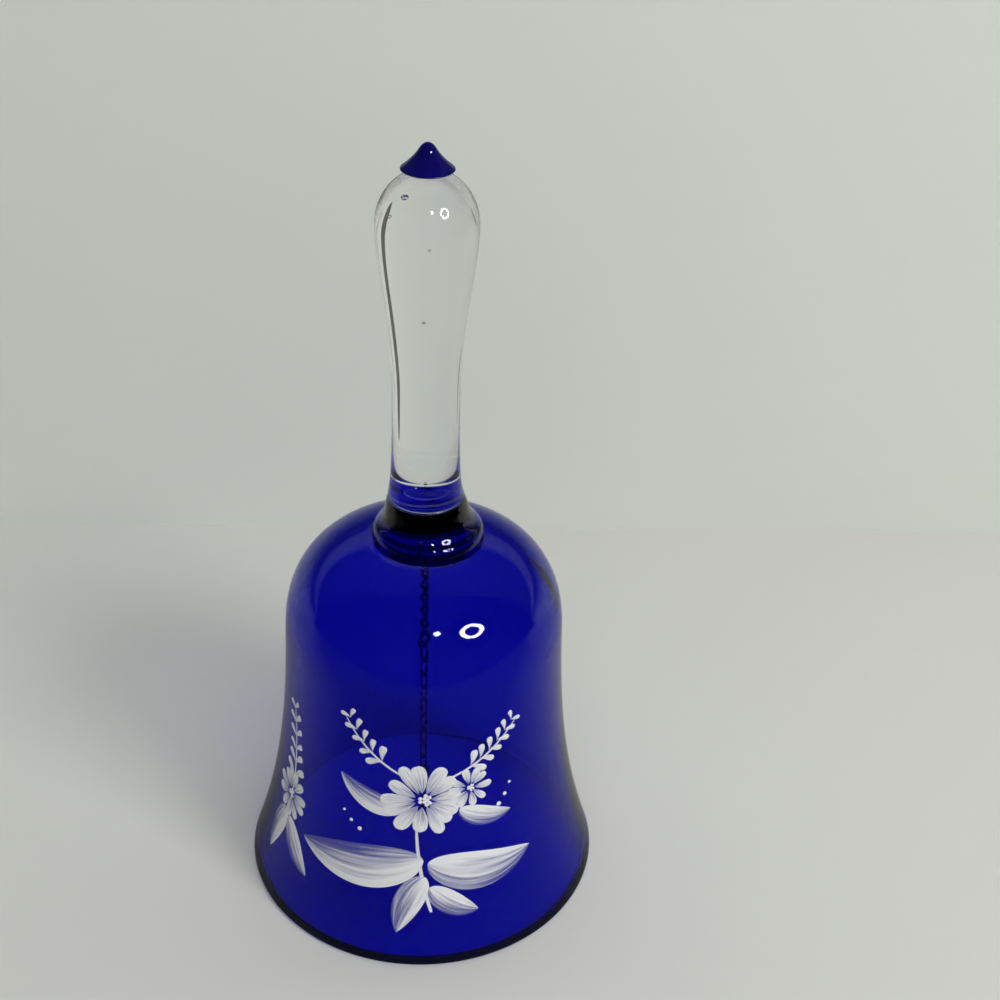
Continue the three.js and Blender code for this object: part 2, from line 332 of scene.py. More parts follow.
class Nodes:
    """The node tree of a material or a world, with short calls for the nodes that the finishes share."""

    def __init__(self, owner: bpy.types.ID, output: str = "ShaderNodeOutputMaterial") -> None:
        """Empties the tree of a new material or world down to its output."""
        owner.use_nodes = True
        self.owner = owner
        self.tree = owner.node_tree
        self.tree.nodes.clear()
        self.output = self.tree.nodes.new(output)

    def add(self, kind: str, **sockets: object) -> Node:
        """Adds a node and sets or links its inputs.

        Args:
            kind: the node's type.
            sockets: values or output sockets, by input name with _ for a space.

        Returns:
            The node.
        """
        node = self.tree.nodes.new(kind)
        for name, value in sockets.items():
            self.put(node.inputs[name.replace("_", " ")], value)
        return node

    def put(self, socket: Socket, value: object) -> None:
        """Sets or links an input socket.

        Args:
            socket: the input.
            value: its value, or the output socket that feeds it.
        """
        if isinstance(value, Socket):
            self.tree.links.new(value, socket)
        else:
            socket.default_value = value

    def math(self, operation: str, first: object, second: object, kind: str = "ShaderNodeMath") -> Socket:
        """Adds a node that reckons with two values.

        Args:
            operation: the node's operation.
            first: its first value or socket.
            second: its second value or socket.
            kind: the node's type, for numbers or for vectors.

        Returns:
            The node's result.
        """
        node = self.tree.nodes.new(kind)
        node.operation = operation
        self.put(node.inputs[0], first)
        self.put(node.inputs[1], second)
        return node.outputs[0]

    def ramp(self, value: Socket, low: float, high: float, out: Point) -> Socket:
        """Maps a value's range on another, smoothly and within its ends.

        Args:
            value: the socket to map.
            low: where the range starts.
            high: where it ends.
            out: what the start and the end become.

        Returns:
            The mapped value.
        """
        node = self.add("ShaderNodeMapRange", Value=value, From_Min=low, From_Max=high)
        node.inputs["To Min"].default_value, node.inputs["To Max"].default_value = out
        node.interpolation_type = "SMOOTHSTEP"
        return node.outputs["Result"]

    def stops(self, value: Socket, stops: Sequence[Point]) -> Socket:
        """Maps a value by straight runs between stops.

        Args:
            value: the socket to map.
            stops: pairs of a value and what it becomes, with rising values.

        Returns:
            The mapped value.
        """
        low, high = stops[0][0], stops[-1][0]
        share = self.math("DIVIDE", self.math("SUBTRACT", value, low), high - low)
        node = self.add("ShaderNodeValToRGB", Fac=share)
        elements = node.color_ramp.elements
        elements[-1].position = 1.0
        for place, _ in stops[1:-1]:
            elements.new((place - low) / (high - low))
        for element, (_, level) in zip(elements, stops):
            element.color = (level, level, level, 1)
        return node.outputs["Color"]

    def blend(self, share: Socket, first: Colour, second: Colour) -> Socket:
        """Mixes two colours.

        Args:
            share: the second colour's share.
            first: the first colour.
            second: the second colour.

        Returns:
            The mixed colour.
        """
        node = self.tree.nodes.new("ShaderNodeMix")
        node.data_type = "RGBA"
        factor, start, end = (node.inputs[index] for index in (0, 6, 7))
        self.put(factor, share)
        self.put(start, (*first, 1))
        self.put(end, (*second, 1))
        return node.outputs[2]

    def mix(self, share: Socket, first: Node, second: Node) -> Node:
        """Mixes two shaders.

        Args:
            share: the second shader's share.
            first: the first shader.
            second: the second shader.

        Returns:
            The mixed shader.
        """
        node = self.add("ShaderNodeMixShader", Fac=share)
        self.put(node.inputs[1], first.outputs[0])
        self.put(node.inputs[2], second.outputs[0])
        return node

    def place(self) -> Socket:
        """Gives the piece's own coordinates."""
        return self.add("ShaderNodeTexCoord").outputs["Object"]

    def along(self, at: Socket, axis: str) -> Socket:
        """Gives one coordinate of a place."""
        return self.add("ShaderNodeSeparateXYZ", Vector=at).outputs[axis]

    def mark(self, name: str) -> Socket:
        """Gives the value of a mesh's attribute."""
        node = self.add("ShaderNodeAttribute")
        node.attribute_name = name
        return node.outputs["Fac"]

    def noise(self, at: Socket, scale: float, detail: float) -> Socket:
        """Adds a noise texture.

        Args:
            at: the coordinates it reads.
            scale: its scale per metre.
            detail: its octaves.

        Returns:
            The noise, from 0 to 1.
        """
        return self.add("ShaderNodeTexNoise", Vector=at, Scale=scale, Detail=detail).outputs["Fac"]

    def finish(self, surface: Node) -> bpy.types.ID:
        """Links the surface's shader to the output and gives the finished material or world."""
        self.put(self.output.inputs["Surface"], surface.outputs[0])
        return self.owner


@dataclass(frozen=True)
class Glass:
    """A solid glass: what it absorbs by depth, and the ripples and smears of handwork on its skin."""

    name: str
    absorbed: Colour
    density: float
    ior: float = 1.5
    lamp_share: float = 1.0
    tint: Colour = (1.0, 1.0, 1.0)
    clearness: float = 1.0
    ripple_scale: float = 60.0
    ripple_detail: float = 1.0
    ripple_height: float = 0.000004
    smear_scale: float = 90.0
    smear_detail: float = 4.0
    smear_range: Point = (0.5, 0.8)
    smear_roughness: float = 0.03
    FUSED: ClassVar[str] = "fused"

    def material(self) -> Material:
        """Builds the glass: a rippled clear skin that lets lamps through, over a tinted body.

        Returns:
            The material.
        """
        nodes = Nodes(bpy.data.materials.new(self.name))
        place = nodes.place()
        ripple = nodes.noise(place, self.ripple_scale, self.ripple_detail)
        bump = nodes.add("ShaderNodeBump", Strength=1.0, Distance=self.ripple_height, Height=ripple)
        smear = nodes.noise(place, self.smear_scale, self.smear_detail)
        skin = nodes.add(
            "ShaderNodeBsdfPrincipled",
            Base_Color=(*self.tint, 1),
            Normal=bump.outputs["Normal"],
            Roughness=nodes.ramp(smear, *self.smear_range, (0.0, self.smear_roughness)),
            IOR=nodes.ramp(nodes.mark(self.FUSED), 0.0, 1.0, (self.ior, 1.0)),
            Transmission_Weight=self.clearness,
        )
        lamp_way = nodes.add("ShaderNodeBsdfTransparent", Color=(*(self.lamp_share,) * 3, 1))
        lamp_ray = nodes.add("ShaderNodeLightPath").outputs["Is Shadow Ray"]
        body = nodes.add("ShaderNodeVolumeAbsorption", Color=(*self.absorbed, 1), Density=self.density)
        nodes.put(nodes.output.inputs["Volume"], body.outputs[0])
        return nodes.finish(nodes.mix(lamp_ray, skin, lamp_way))


@dataclass(frozen=True)
class Spotted:
    """A finish that lets no light through, with spots that differ in colour and roughness."""

    name: str
    colour: Colour
    spots: Colour
    spot_scale: float
    spot_detail: float
    roughness: Point
    metallic: float = 0.0
    fade: Point | None = None
    spot_range: Point = (0.4, 0.7)
    rough_range: Point = (0.3, 0.7)

    def material(self) -> Material:
        """Builds the finish, which fades out towards the back where it has a fade.

        Returns:
            The material.
        """
        nodes = Nodes(bpy.data.materials.new(self.name))
        place = nodes.place()
        spots = nodes.noise(place, self.spot_scale, self.spot_detail)
        share = nodes.ramp(spots, *self.spot_range, (0.0, 1.0))
        skin = nodes.add(
            "ShaderNodeBsdfPrincipled",
            Base_Color=nodes.blend(share, self.colour, self.spots),
            Roughness=nodes.ramp(spots, *self.rough_range, self.roughness),
            Metallic=self.metallic,
        )
        if self.fade:
            nodes.put(skin.inputs["Alpha"], nodes.ramp(nodes.along(place, "Y"), *self.fade, (1.0, 0.0)))
        return nodes.finish(skin)


@dataclass(frozen=True)
class WhiteEnamel:
    """Fired white enamel that thins to streaks where the brush ran dry."""

    name: str = "white_enamel"
    colour: Colour = (0.88, 0.89, 0.90)
    roughness: float = 0.42
    streak_scale: tuple[float, float, float] = (1.3, 9.0, 1.0)
    streak_detail: float = 3.0
    streak_share: float = 1.5
    full_load: float = 0.9
    cover: Point = (0.10, 0.98)
    LOAD: ClassVar[str] = "load"

    def material(self) -> Material:
        """Builds the enamel, whose cover follows the load of paint, broken by streaks along the stroke.

        Returns:
            The material.
        """
        nodes = Nodes(bpy.data.materials.new(self.name))
        along = nodes.add("ShaderNodeTexCoord").outputs["UV"]
        along = nodes.math("MULTIPLY", along, self.streak_scale, "ShaderNodeVectorMath")
        streak = nodes.math("SUBTRACT", nodes.noise(along, 1.0, self.streak_detail), 0.5)
        paint = nodes.math("ADD", nodes.mark(self.LOAD), nodes.math("MULTIPLY", streak, self.streak_share))
        return nodes.finish(nodes.add(
            "ShaderNodeBsdfPrincipled",
            Base_Color=(*self.colour, 1),
            Roughness=self.roughness,
            Alpha=nodes.ramp(paint, 0.0, self.full_load, self.cover),
        ))


COBALT = Glass("cobalt_glass", absorbed=(0.02, 0.02, 0.89), density=800.0, ior=1.45, lamp_share=0.7)
COBALT_CAP = replace(COBALT, name="cobalt_cap", density=500.0, tint=(0.011, 0.008, 0.20), clearness=0.55)
CLEAR = Glass("clear_glass", absorbed=(0.86, 0.95, 0.90), density=6.0)
# Painted shade: a near-black ring under the front of the lip, fading out towards the back, that draws the
# dark line where the lip meets the table.
LIP_SHADE_PAINT = Spotted(
    "lip_shade_paint",
    colour=(0.003, 0.003, 0.010),
    spots=(0.006, 0.006, 0.016),
    spot_scale=3000.0,
    spot_detail=3.0,
    roughness=(0.5, 0.7),
    fade=(-0.005, 0.025),
)
STEEL = Spotted(
    "chain_steel",
    colour=(0.46, 0.45, 0.44),
    spots=(0.20, 0.18, 0.16),
    spot_scale=700.0,
    spot_detail=4.0,
    roughness=(0.28, 0.55),
    metallic=1.0,
)
ENAMEL = WhiteEnamel()


def dress(piece: Piece, finish: Material, slot: Slot, body: str, *nodes: str) -> None:
    """Gives a finished piece its material, and says what it rides on and stands for.

    Args:
        piece: the piece.
        finish: its material.
        slot: the record's slot for that finish; not used.
        body: the body that carries it.
        nodes: the frame nodes that it stands for.
    """
    piece.data.materials.clear()
    piece.data.materials.append(finish)
    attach(piece, body)
    if nodes:
        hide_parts(*nodes)
    LOG.info("%s: %d faces on %s", piece.name, len(piece.data.polygons), body)


@dataclass
class Cup:
    """The blown cobalt cup: one wall from the crown down to a rounded lip."""

    wall: float = 2.6
    crown_edge: float = 12.3
    seat_radius: float = 11.5
    seat_aside: float = 0.66
    crown_reach: float = 12.8
    crown_fall: float = 2.4
    shoulder_radius: float = 30.0
    shoulder_height: float = 65.0
    shoulder_rise: float = 11.0
    shoulder_draw: float = 0.4
    flare_low: Point = (2.2, 24.0)
    flare_high: Point = (0.6, 45.0)
    lip_thickness: float = 3.2
    lip_round: float = 1.0
    lip_contact: float = 0.9
    contact_fade: Point = (-10.0, 15.0)
    # The near-black ring of painted shade under the lip's front: how far it reaches in, how far it lifts off
    # the table, how thick it is.
    lip_shade_reach: float = 2.1
    lip_shade_lift: float = 0.05
    lip_shade_thickness: float = 0.05
    steps: int = 256
    crown_parts: int = 30
    outer_parts: int = 80
    lip_outer_parts: int = 12
    lip_inner_parts: int = 8
    inner_parts: int = 36
    underside_parts: int = 12
    lip_shade_parts: int = 4

    def __post_init__(self) -> None:
        """Takes the mouth and the crown's height from the frame."""
        high = low_high("bell_cup")[1]
        self.mouth_radius = high.x
        self.crown_height = high.z

    def face(self, outline: Outline, foot: float, wall: float, parts: int) -> Outline:
        """Draws one face of the wall from the crown down to the lip.

        Args:
            outline: the outline so far, with its pencil at the crown's edge.
            foot: the face's radius at the lip.
            wall: how far the face lies inside the outer one.
            parts: how many steps each of its two curves has.

        Returns:
            The outline.
        """
        shoulder = (self.shoulder_radius - wall, self.shoulder_height)
        outline.curve(
            (self.crown_edge + self.crown_reach - wall, self.crown_height - self.crown_fall - wall),
            (shoulder[0] - self.shoulder_draw, self.shoulder_height + self.shoulder_rise - wall),
            shoulder,
            parts,
        )
        return outline.curve(
            (self.shoulder_radius + self.flare_high[0] - wall, self.flare_high[1]),
            (self.shoulder_radius + self.flare_low[0] - wall, self.flare_low[1]),
            (foot, self.lip_round),
            parts,
        )

    def outline(self) -> Outline:
        """Draws the wall's section from the crown's middle, round the lip, to the middle of its underside.

        Returns:
            The outline.
        """
        lip = self.lip_round
        inside = self.mouth_radius - self.lip_thickness
        underside = self.crown_height - self.wall
        outer = Outline(0, self.crown_height).line(self.crown_edge, self.crown_height, self.crown_parts)
        self.face(outer, self.mouth_radius, 0, self.outer_parts)
        outer.round((self.mouth_radius - lip, lip), lip, lip, (0, -90), self.lip_outer_parts)
        outer.line(inside + lip, 0)
        outer.round((inside + lip, lip), lip, lip, (-90, -180), self.lip_inner_parts)
        inner = Outline(self.crown_edge - self.wall, underside)
        self.face(inner, inside, self.wall, self.inner_parts)
        outer.points += inner.points[::-1][1:]
        return outer.line(0, underside, self.underside_parts)

    def skin(self) -> Outline:
        """Draws the outer face alone, from the crown's edge down to the lip."""
        crown = Outline(self.crown_edge, self.crown_height)
        return self.face(crown, self.mouth_radius, 0, self.outer_parts)

    def contact(self, at: Vector) -> float:
        """Tells how far the lip's underside takes light from the table, which grows towards the back.

        Args:
            at: a face's middle in millimetres.

        Returns:
            The share, from 0 to 1.
        """
        first, last = self.contact_fade
        return min(max((at.y - first) / (last - first), 0.0), 1.0) * (at.z < self.lip_contact)

    def build(self) -> Piece:
        """Turns the cup.

        Returns:
            The cup.
        """
        piece = Bench.lathe("cup", self.outline(), self.steps)
        Bench.mark_fused(piece, Bench.on_seat(self.crown_height, self.seat_radius, self.seat_aside))
        Bench.mark_fused(piece, self.contact)
        return piece

    def lip_shade(self) -> Piece:
        """Turns a thin near-black ring of painted shade, the dark line where the lip meets the table.

        Returns:
            The ring, a thin skin inside the lip's underside.
        """
        low, high = self.lip_shade_lift, self.lip_shade_lift + self.lip_shade_thickness
        inner = self.mouth_radius - self.lip_thickness + self.lip_round
        outer = self.mouth_radius - self.lip_round
        edge = outer - self.lip_shade_reach
        rise = self.lip_round - math.sqrt(self.lip_round ** 2 - max(inner - edge, 0) ** 2)
        line = Outline(outer, low).line(inner, low, self.lip_shade_parts).line(edge, low + rise, self.lip_shade_parts)
        line.line(edge, high + rise).line(inner, high, self.lip_shade_parts).line(outer, high, self.lip_shade_parts)
        return Bench.lathe("lip_painted_shade", line.line(outer, low), self.steps)


class Stroke(str, Enum):
    """The strokes that a pointed or a flat brush leaves."""

    PETAL = "petal"
    LEAF = "leaf"
    COMMA = "comma"
    STEM = "stem"
    DOT = "dot"


@dataclass(frozen=True)
class Brush:
    """How one kind of stroke is laid: its mesh, its outline, its paint and the ridges of its bristles."""

    rows: int
    columns: int
    start_taper: float
    end_taper: float
    relief: float
    ridges: float
    start_load: float
    end_load: float
    side_load: float = 0.0
    END: ClassVar[float] = 0.003
    DOME: ClassVar[float] = 0.6
    WAVER: ClassVar[float] = 0.8
    WAVER_PACE: ClassVar[float] = 4.0
    RIDGE_SHARE: ClassVar[float] = 0.2
    LOAD_SHARE: ClassVar[float] = 0.55
    NARROW: ClassVar[float] = 0.4

    def half_width(self, run: float) -> float:
        """Gives the stroke's half width along its run, as a share of its greatest.

        Args:
            run: how far along the stroke, from 0 to 1.

        Returns:
            The share.
        """
        peak = self.start_taper / (self.start_taper + self.end_taper)
        top = peak ** self.start_taper * (1 - peak) ** self.end_taper
        run = min(max(run, self.END), 1 - self.END)
        return run ** self.start_taper * (1 - run) ** self.end_taper / top

    def load(self, run: float) -> float:
        """Gives the brush's load of paint along its run."""
        return self.start_load + (self.end_load - self.start_load) * run

    def thickness(self, run: float, across: float, phase: float) -> float:
        """Gives how thick the paint lies: domed, combed by the bristles and thinner as the brush runs dry.

        Args:
            run: how far along the stroke, from 0 to 1.
            across: how far across it, from -1 to 1.
            phase: where the comb of the bristles starts.

        Returns:
            The thickness in millimetres.
        """
        dome = max(1 - across * across, 0) ** self.DOME
        waver = self.WAVER * math.sin(self.WAVER_PACE * run + phase)
        comb = math.sin(self.ridges * math.pi * across + phase + waver)
        ridged = 1 - self.RIDGE_SHARE + self.RIDGE_SHARE * comb
        loaded = 1 - self.LOAD_SHARE + self.LOAD_SHARE * self.load(run)
        return self.relief * dome * ridged * loaded * min(1.0, self.half_width(run) / self.NARROW)


BRUSHES: dict[Stroke, Brush] = {
    Stroke.PETAL: Brush(22, 12, 0.85, 0.38, 0.16, 5.0, 0.30, 0.95),
    Stroke.LEAF: Brush(40, 20, 0.55, 0.80, 0.12, 9.0, 0.75, 0.30, 0.45),
    Stroke.COMMA: Brush(24, 8, 0.38, 1.25, 0.17, 3.0, 0.95, 0.55),
    Stroke.STEM: Brush(40, 4, 0.12, 0.35, 0.09, 1.0, 0.85, 0.60),
    Stroke.DOT: Brush(12, 12, 0.5, 0.5, 0.24, 0.0, 1.05, 1.05),
}


@dataclass(frozen=True)
class Mark:
    """One stroke of the spray: where it starts on the cup, which way it runs and how it bends."""

    stroke: Stroke
    turn: float
    height: float
    heading: float
    length: float
    half_width: float
    bend: float = 0.0


@dataclass(frozen=True)
class Daisy:
    """A daisy's make: its petals and the dots of its eye, in shares of its radius and in degrees."""

    waver: float = 7.0
    reach: Point = (0.86, 1.08)
    start: float = 0.2
    length: float = 0.8
    half_width: Point = (0.15, 0.19)
    bend: float = 16.0
    dots: int = 9
    dot_waver: float = 9.0
    dot_ring: float = 0.13
    dot_middle: float = 0.05
    dot_size: float = 0.1


@dataclass(frozen=True)
class Sprig:
    """A sprig's make: its stem in millimetres, its leaflets in shares of their length and in degrees."""

    stem_half_width: float = 0.26
    first: float = 0.3
    span: float = 0.66
    shrink: float = 0.45
    reach: Point = (0.9, 1.1)
    spread: Point = (46.0, 58.0)
    tuck: float = 16.0
    half_width: float = 0.2
    bend: float = 34.0


@dataclass
class Spray:
    """A sprig of daisies and leaves in white enamel, laid stroke by stroke on the cup's outer face."""

    cup: Cup
    rest_gap: float = 0.012
    layer_gap: float = 0.0014
    edge_gap: float = 0.01
    mean_radius: float = 33.0
    streak_step: float = 3.0
    seed: int = 7
    daisy: Daisy = Daisy()
    leaflets: Sprig = Sprig()

    def __post_init__(self) -> None:
        """Draws the face that the strokes lie on, from the lip upwards."""
        self.rows = sorted((height, radius) for radius, height in self.cup.skin().points)
        self.chance = random.Random(self.seed)

    def on_face(self, turn: float, height: float, lift: float) -> Vector:
        """Gives a point on the cup's outer face.

        Args:
            turn: the point's angle in radians from the front, to the right.
            height: its height in millimetres.
            lift: how far it stands off the face.

        Returns:
            The point in millimetres.
        """
        height = min(max(height, self.rows[0][0] + self.edge_gap), self.rows[-1][0] - self.edge_gap)
        upper = bisect.bisect_right(self.rows, (height, math.inf))
        (low, low_radius), (high, high_radius) = self.rows[upper - 1], self.rows[upper]
        slope = (high_radius - low_radius) / (high - low)
        radius = low_radius + slope * (height - low)
        steep = math.hypot(1, slope)
        reach = radius + lift / steep
        return Vector((reach * math.sin(turn), -reach * math.cos(turn), height - lift * slope / steep))

    def beside(self, turn: float, height: float, heading: float, reach: float) -> Point:
        """Gives a spot that lies some way off another.

        Args:
            turn: the first spot's angle in degrees.
            height: its height.
            heading: the way from it, in degrees.
            reach: how far the other lies, in millimetres.

        Returns:
            The other spot's angle and height.
        """
        way = math.radians(heading)
        per_degree = math.radians(1) * self.mean_radius
        return turn + reach * math.cos(way) / per_degree, height + reach * math.sin(way)

    def flower(self, turn: float, height: float, size: float, petals: int, tilt: float) -> list[Mark]:
        """Lays out a daisy: petals drawn in to a dotted eye.

        Args:
            turn: the eye's angle in degrees.
            height: its height.
            size: the flower's radius.
            petals: how many petals it has.
            tilt: the first petal's heading.

        Returns:
            The flower's strokes.
        """
        make = self.daisy
        marks = []
        for count in range(petals):
            heading = tilt + 360 * count / petals + self.chance.uniform(-make.waver, make.waver)
            reach = size * self.chance.uniform(*make.reach)
            marks.append(Mark(
                Stroke.PETAL,
                *self.beside(turn, height, heading, size * make.start),
                heading,
                reach * make.length,
                size * self.chance.uniform(*make.half_width),
                self.chance.uniform(-make.bend, make.bend),
            ))
        for count in range(make.dots):
            around = 360 / make.dots * count + self.chance.uniform(-make.dot_waver, make.dot_waver)
            away = size * (make.dot_ring if count % 3 else make.dot_middle)
            marks.append(self.dot(*self.beside(turn, height, around, away), size * make.dot_size))
        return marks

    @staticmethod
    def dot(turn: float, height: float, size: float) -> Mark:
        """Lays out a round dot."""
        return Mark(Stroke.DOT, turn, height, 0, size, size / 2)

    def sprig(
        self, start: Point, heading: float, length: float, bend: float, pairs: int, size: float
    ) -> list[Mark]:
        """Lays out a bent stem with pairs of comma leaflets that shrink towards its tip.

        Args:
            start: the stem's first angle in degrees and height.
            heading: the way in which it starts.
            length: its length.
            bend: how far it turns, in degrees.
            pairs: how many pairs of leaflets it has.
            size: the first leaflets' length.

        Returns:
            The sprig's strokes.
        """
        make = self.leaflets
        marks = [Mark(Stroke.STEM, *start, heading, length, make.stem_half_width, bend)]
        for pair in range(pairs):
            share = make.first + make.span * pair / max(pairs - 1, 1)
            foot = self.beside(*start, heading + bend * share / 2, length * share)
            reach = size * (1 - make.shrink * share) * self.chance.uniform(*make.reach)
            for side in (1, -1):
                outward = heading + bend * share + side * self.chance.uniform(*make.spread)
                marks.append(Mark(
                    Stroke.COMMA,
                    *self.beside(*foot, outward, reach),
                    outward + 180 + side * make.tuck,
                    reach,
                    reach * make.half_width,
                    -side * make.bend,
                ))
        return marks

    def front(self) -> list[Mark]:
        """Lays out the front spray: two daisies over broad leaves, with sprigs rising to both sides.

        Returns:
            The spray's strokes.
        """
        return [
            Mark(Stroke.STEM, 3, 13, 106, 24, 0.42, -18),
            Mark(Stroke.LEAF, 0, 26, 200, 30, 5.2, -26),
            Mark(Stroke.LEAF, 2, 25, -26, 25, 4.6, 40),
            Mark(Stroke.LEAF, 1, 21.5, 232, 15, 3.2, 26),
            Mark(Stroke.LEAF, 2.5, 19, -50, 13, 2.7, 36),
            Mark(Stroke.LEAF, 14, 38, -40, 13, 2.4, 44),
            Mark(Stroke.LEAF, -9, 38, 176, 15, 2.7, -44),
            *self.sprig((9, 46), 20, 20, 30, 6, 4.8),
            *self.sprig((-8, 47), 152, 18, -34, 5, 4.6),
            *self.flower(0, 41, 9.0, 13, 12),
            *self.flower(18, 43, 5.2, 10, 0),
            self.dot(29, 36.5, 1.1),
            self.dot(32, 38.5, 0.9),
            self.dot(34.5, 41, 0.7),
            self.dot(-25, 31.5, 1.0),
            self.dot(-28.5, 33, 0.8),
            self.dot(-31.5, 35, 0.6),
        ]

    def side(self) -> list[Mark]:
        """Lays out the small spray that shows at the cup's left edge.

        Returns:
            The spray's strokes.
        """
        return [
            Mark(Stroke.LEAF, -62, 24, 236, 15, 2.8, 30),
            Mark(Stroke.LEAF, -60, 23, -64, 14, 2.7, 34),
            *self.sprig((-61, 26), 84, 26, 18, 6, 5.0),
            *self.flower(-61, 29, 6.2, 11, 5),
        ]

    def lay(self, base: Piece, mark: Mark, layer: int) -> Piece:
        """Copies a kind's flat stroke, bends it along its run and lays it on the cup.

        Args:
            base: the flat stroke, from -1 to 1 along and across.
            mark: the stroke to lay.
            layer: how many strokes lie before it.

        Returns:
            The stroke.
        """
        brush = BRUSHES[mark.stroke]
        piece = Bench.copy(base)
        phase = self.chance.uniform(0, math.tau)
        lift = self.rest_gap + self.layer_gap * layer
        steps = brush.rows
        spine = [Vector((0, 0))]
        headings = [math.radians(mark.heading + mark.bend * step / steps) for step in range(steps + 1)]
        for here in headings[:-1]:
            spine.append(spine[-1] + Vector((math.cos(here), math.sin(here))) * mark.length / steps)
        load = piece.data.attributes.new(WhiteEnamel.LOAD, "FLOAT", "POINT")
        for point, weight in zip(piece.data.vertices, load.data):
            run = (point.co.x + 1) / 2
            across = point.co.y
            row = round(run * steps)
            width = mark.half_width * brush.half_width(run)
            flat = spine[row] + Vector((-math.sin(headings[row]), math.cos(headings[row]))) * across * width
            height = mark.height + flat.y
            turn = math.radians(mark.turn) + flat.x / self.on_face(0, height, 0).xy.length
            point.co = self.on_face(turn, height, lift + brush.thickness(run, across, phase)) * MM
            weight.value = brush.load(run) + brush.side_load * across
        for corner in piece.data.uv_layers.active.data:
            corner.uv.x += self.streak_step * layer
        return piece

    def build(self, name: str, marks: Sequence[Mark]) -> Piece:
        """Lays a spray's strokes in order and joins them.

        Args:
            name: the spray's name.
            marks: its strokes.

        Returns:
            The spray.
        """
        bases = {}
        for stroke in {mark.stroke: None for mark in marks}:
            Bench.clear()
            brush = BRUSHES[stroke]
            bpy.ops.mesh.primitive_grid_add(x_subdivisions=brush.rows, y_subdivisions=brush.columns, size=2)
            bases[stroke] = Bench.settle(f"flat_{stroke.value}")
        laid = [self.lay(bases[mark.stroke], mark, layer) for layer, mark in enumerate(marks)]
        for base in bases.values():
            bpy.data.objects.remove(base, do_unlink=True)
        Bench.join(*laid)
        bpy.ops.object.shade_smooth()
        return Bench.settle(name)


@dataclass(frozen=True)
class Seed:
    """A bubble left in the glass: its middle, its half width and its half height, in millimetres."""

    place: Place
    reach: float
    rise: float
    SEGMENTS: ClassVar[int] = 24
    RINGS: ClassVar[int] = 16

    def blow(self) -> Piece:
        """Blows the bubble: a ball flattened by the drawn glass, with its skin facing inwards.

        Returns:
            The bubble.
        """
        Bench.clear()
        bpy.ops.mesh.primitive_uv_sphere_add(
            segments=self.SEGMENTS,
            ring_count=self.RINGS,
            radius=MM,
            location=Vector(self.place) * MM,
        )
        Bench.open()
        bpy.ops.transform.resize(value=(self.reach, self.reach, self.rise))
        bpy.ops.mesh.flip_normals()
        Bench.close()
        bpy.ops.object.shade_smooth()
        return Bench.settle("bubble")


